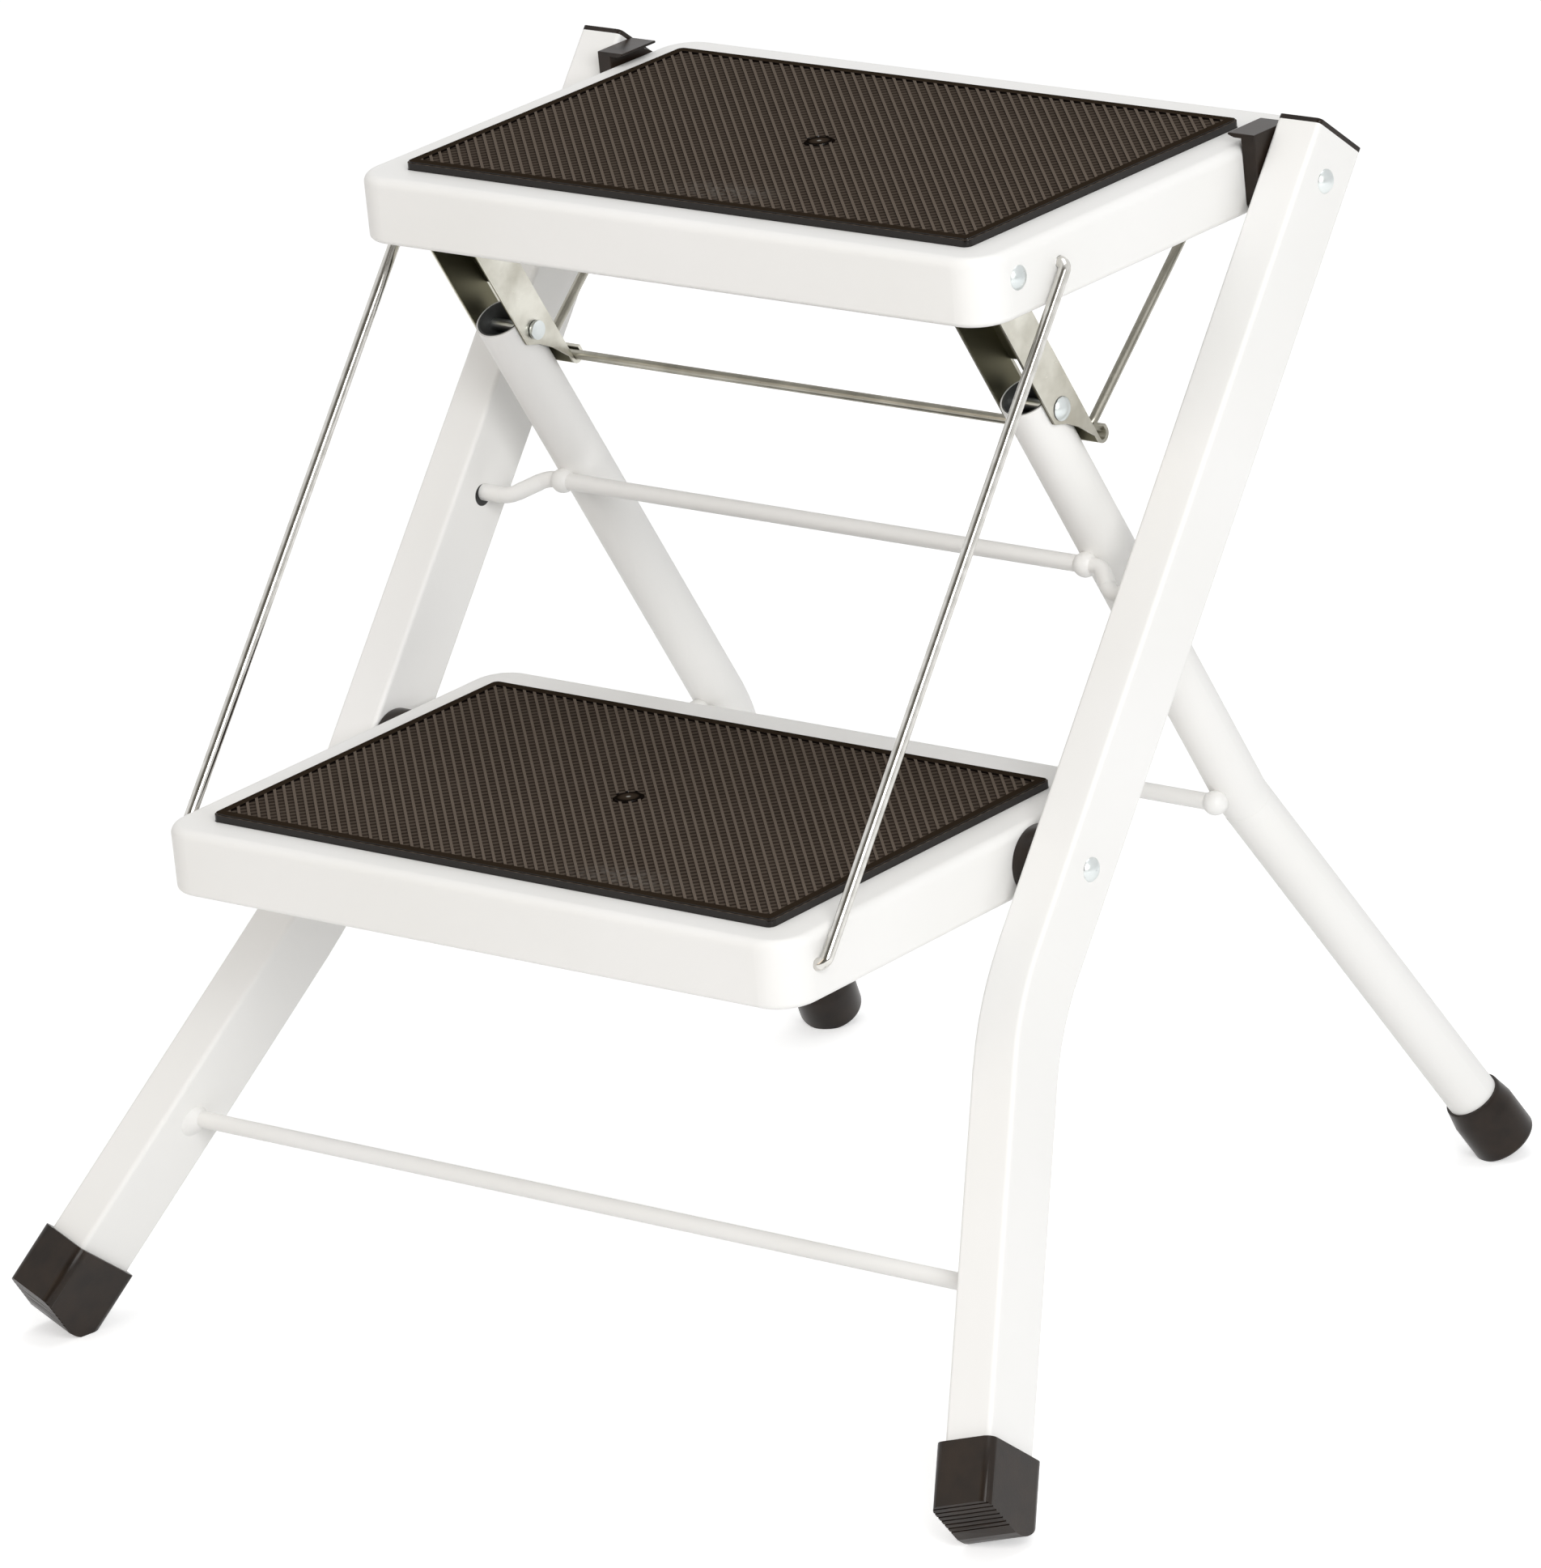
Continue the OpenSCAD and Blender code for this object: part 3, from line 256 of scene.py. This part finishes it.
def zinc_plate(name, dull, bright, channel=False):
    """Zinc plate on steel: faintly clouded from dull to bright, with fine rubs; within a channel, painted
    shade makes it dark olive, and it is rougher there.
    """
    made, tree = finish(name)
    place = add(tree, "ShaderNodeTexCoord")["Object"]
    cloud = add(tree, "ShaderNodeTexNoise", {"Vector": place, "Scale": 1 / (16 * MM), "Detail": 3.0})["Fac"]
    tone = add(tree, "ShaderNodeValToRGB", {"Fac": cloud}, ((0.3, dull), (0.7, bright)))["Color"]
    drawn = add(tree, "ShaderNodeMapping", {"Vector": place, "Scale": (1, 1, 6)})["Vector"]
    rubs = add(tree, "ShaderNodeTexNoise", {"Vector": drawn, "Scale": 1 / (6 * MM), "Detail": 5.0,
                                            "Roughness": 0.7})["Fac"]
    gloss = add(tree, "ShaderNodeMapRange", {"Value": rubs, "From Min": 0.3, "From Max": 0.7,
                                             "To Min": 0.26, "To Max": 0.4})["Result"]
    marks = add(tree, "ShaderNodeBump", {"Height": rubs, "Distance": 0.02 * MM, "Strength": 0.25})["Normal"]
    if channel:
        # inside the channel the plate is painted dark olive: painted shade, and a painted reflection of the
        # dim surroundings; it is also rougher there
        spot = add(tree, "ShaderNodeSeparateXYZ", {"Vector": from_rivet(tree, place)})
        side = add(tree, "ShaderNodeMath", {0: spot["X"]}, operation="ABSOLUTE")["Value"]
        between = add(tree, "ShaderNodeMath", {0: side, 1: CHANNEL_HALF}, operation="LESS_THAN")["Value"]
        ahead = add(tree, "ShaderNodeMath", {0: spot["Y"], 1: CHANNEL_BACK}, operation="LESS_THAN")["Value"]
        inside = add(tree, "ShaderNodeMath", {0: between, 1: ahead}, operation="MULTIPLY")["Value"]
        tone = add(tree, "ShaderNodeMix", {FACTOR: inside, COLOUR_A: tone, COLOUR_B: linear("#6E6B58")},
                   data_type="RGBA")[COLOUR_OUT]
        gloss = add(tree, "ShaderNodeMix", {FACTOR: inside, NUMBER_A: gloss, NUMBER_B: 0.45})["Result"]
    shader = add(tree, "ShaderNodeBsdfPrincipled",
                 {"Base Color": tone, "Normal": marks, "Roughness": gloss, "Metallic": 1.0})["BSDF"]
    add(tree, "ShaderNodeOutputMaterial", {"Surface": shader})
    return made


def bright_rod():
    """Drawn steel rod with bright nickel plate: near mirror, faintly uneven in tone and gloss."""
    made, tree = finish("bright_nickel_rod")
    place = add(tree, "ShaderNodeTexCoord")["Object"]
    cloud = add(tree, "ShaderNodeTexNoise", {"Vector": place, "Scale": 1 / (5 * MM), "Detail": 3.0})["Fac"]
    tone = add(tree, "ShaderNodeValToRGB", {"Fac": cloud}, ((0.3, "#C2C0BA"), (0.7, "#DAD8D4")))["Color"]
    gloss = add(tree, "ShaderNodeMapRange", {"Value": cloud, "To Min": 0.1, "To Max": 0.2})["Result"]
    marks = add(tree, "ShaderNodeBump", {"Height": cloud, "Distance": 0.04 * MM, "Strength": 0.3})["Normal"]
    shader = add(tree, "ShaderNodeBsdfPrincipled",
                 {"Base Color": tone, "Normal": marks, "Roughness": gloss, "Metallic": 1.0})["BSDF"]
    add(tree, "ShaderNodeOutputMaterial", {"Surface": shader})
    return made


finishes = {"paint": white_powder_coat(), "rubber": moulded_rubber(),
            "zinc": zinc_plate("blue_white_zinc_rivet", "#C6CCCC", "#DDE1E0"), "bright_rod": bright_rod(),
            "lock_bail": zinc_plate("dull_zinc_wire", "#98958A", "#B3B0A5")}
channel_plate_shaded = zinc_plate("zinc_plate_channel_shade", "#B6B3A7", "#DAD8CE", channel=True)
tube_coat = white_powder_coat(tube=True)
leg_coat_hole_shade = white_powder_coat(painted_hole_shade=True)
for side in ("left", "right"):
    finishes["lock_bracket_" + side], finishes["rear_leg_" + side] = channel_plate_shaded, tube_coat
    finishes["front_leg_" + side] = leg_coat_hole_shade
slot_of = {part["node"]: part["material_slot"] for part in frame["record"]["subparts"]}
for name, node in nodes.items():
    node.data.materials.clear()
    if slot_of[name] == "mat":
        low, high = corners(name)
        middle = Vector((0, (low.y + high.y) / 2, high.z - RIB_DROP))
        worn = Vector((WORN[name][0], low.y + WORN[name][1], high.z))
        ground = high.z - RIB_HEIGHT - RIB_DROP
        node.data.materials.append(moulded_mat("rubber_" + name, ground, middle, worn))
    else:
        node.data.materials.append(finishes.get(name, finishes[slot_of[name]]))

# moulded and pressed edges are soft: welded seams, then a small round
EDGE_ROUND = {"rubber": 0.5 * MM, "mat": 0.2 * MM, "zinc": 0.25 * MM}
SEAM_REACH = 0.005 * MM
SHARP_EDGE = math.radians(35)
for name, node in nodes.items():
    if slot_of[name] in EDGE_ROUND:
        join = node.modifiers.new("seams", "WELD")
        join.merge_threshold = SEAM_REACH
        edge = node.modifiers.new("soft_edges", "BEVEL")
        edge.width = EDGE_ROUND[slot_of[name]]
        edge.segments = 2
        edge.limit_method = "ANGLE"
        edge.angle_limit = SHARP_EDGE
        edge.harden_normals = True


# ---- studio --------------------------------------------------------------------------------

# a long lens from the front right, a little above the stool
CAMERA_AT = Vector((2.80941, -3.19245, 1.67938))
AIM = Vector((-0.05019, 0.04126, 0.18536))
ROLL = math.radians(-5.88)
LENS = 255.0
camera = bpy.data.objects.new("camera", bpy.data.cameras.new("camera"))
camera.data.lens = LENS
camera.data.clip_end = 50
camera.location = CAMERA_AT
camera.rotation_mode = "QUATERNION"
camera.rotation_quaternion = ((AIM - CAMERA_AT).to_track_quat("-Z", "Y")
                              @ Matrix.Rotation(ROLL, 3, "Z").to_quaternion())
bpy.context.collection.objects.link(camera)
bpy.context.scene.camera = camera

LAMP_AIM = Vector((0, 0, 0.25))


def softbox(name, place, size, watts, tint="#FFFFFF"):
    """A square studio lamp of a size in metres, aimed at the middle of the stool."""
    light = bpy.data.lights.new(name, "AREA")
    light.shape = "SQUARE"
    light.size = size
    light.energy = watts
    light.color = linear(tint)[:3]
    lamp = bpy.data.objects.new(name, light)
    lamp.location = place
    lamp.rotation_mode = "QUATERNION"
    lamp.rotation_quaternion = (LAMP_AIM - Vector(place)).to_track_quat("-Z", "Y")
    bpy.context.collection.objects.link(lamp)


softbox("key_softbox", (2.5, -1.5, 1.7), 1.5, 56)
softbox("front_softbox", (-1.2, -2.8, 1.5), 1.8, 13, "#FFF0DE")
softbox("top_softbox", (0.2, 0.4, 3.2), 2.0, 22)

FLOOR_HALF = 20
floor_mesh = bpy.data.meshes.new("floor")
floor_shape = bmesh.new()
bmesh.ops.create_grid(floor_shape, x_segments=1, y_segments=1, size=FLOOR_HALF)
floor_shape.to_mesh(floor_mesh)
floor_shape.free()
floor = bpy.data.objects.new("floor", floor_mesh)
bpy.context.collection.objects.link(floor)


def rays(tree):
    """Which rays come straight from the camera, and which come off a mirror or through glass."""
    path = add(tree, "ShaderNodeLightPath")
    mirrored = add(tree, "ShaderNodeMath", {0: path["Is Glossy Ray"], 1: path["Is Transmission Ray"]},
                   operation="MAXIMUM")["Value"]
    return path["Is Camera Ray"], mirrored


# the floor and the backdrop are white to the eye and in reflections, plain to soft light
floor_finish, tree = finish("white_studio_floor")
direct, mirrored = rays(tree)
seen = add(tree, "ShaderNodeMath", {0: direct, 1: mirrored}, operation="MAXIMUM")["Value"]
matt = add(tree, "ShaderNodeBsdfDiffuse", {"Color": linear("#F4F4F4")})["BSDF"]
glow = add(tree, "ShaderNodeEmission", {"Color": linear("#FFFFFF"), "Strength": 0.45})["Emission"]
bright = add(tree, "ShaderNodeAddShader", {0: matt, 1: glow})["Shader"]
both = add(tree, "ShaderNodeMixShader", {0: seen, 1: matt, 2: bright})["Shader"]
add(tree, "ShaderNodeOutputMaterial", {"Surface": both})
floor.data.materials.append(floor_finish)

world = bpy.data.worlds.new("studio")
bpy.context.scene.world = world
world.use_nodes = True
tree = world.node_tree
tree.nodes.clear()
direct, mirrored = rays(tree)
# the backdrop is white; the room on the near side is dim, which gives bright metal its dark streaks
DIM_SIDE = (0.35, -0.94, 0)
direction = add(tree, "ShaderNodeTexCoord")["Generated"]
near_side = add(tree, "ShaderNodeVectorMath", {0: direction, 1: DIM_SIDE}, operation="DOT_PRODUCT")["Value"]
room = add(tree, "ShaderNodeValToRGB", {"Fac": near_side}, ((0.25, "#FFFFFF"), (0.6, "#6E6A62")))["Color"]
seen_room = add(tree, "ShaderNodeBackground", {"Color": room, "Strength": 1.0})["Background"]
backdrop = add(tree, "ShaderNodeBackground", {"Color": linear("#FFFFFF"), "Strength": 1.0})["Background"]
soft_light = add(tree, "ShaderNodeBackground", {"Color": linear("#F9FAFB"), "Strength": 0.48})["Background"]
reflected = add(tree, "ShaderNodeMixShader", {0: mirrored, 1: soft_light, 2: seen_room})["Shader"]
whole = add(tree, "ShaderNodeMixShader", {0: direct, 1: reflected, 2: backdrop})["Shader"]
add(tree, "ShaderNodeOutputWorld", {"Surface": whole})

bpy.context.scene.view_settings.view_transform = "Standard"
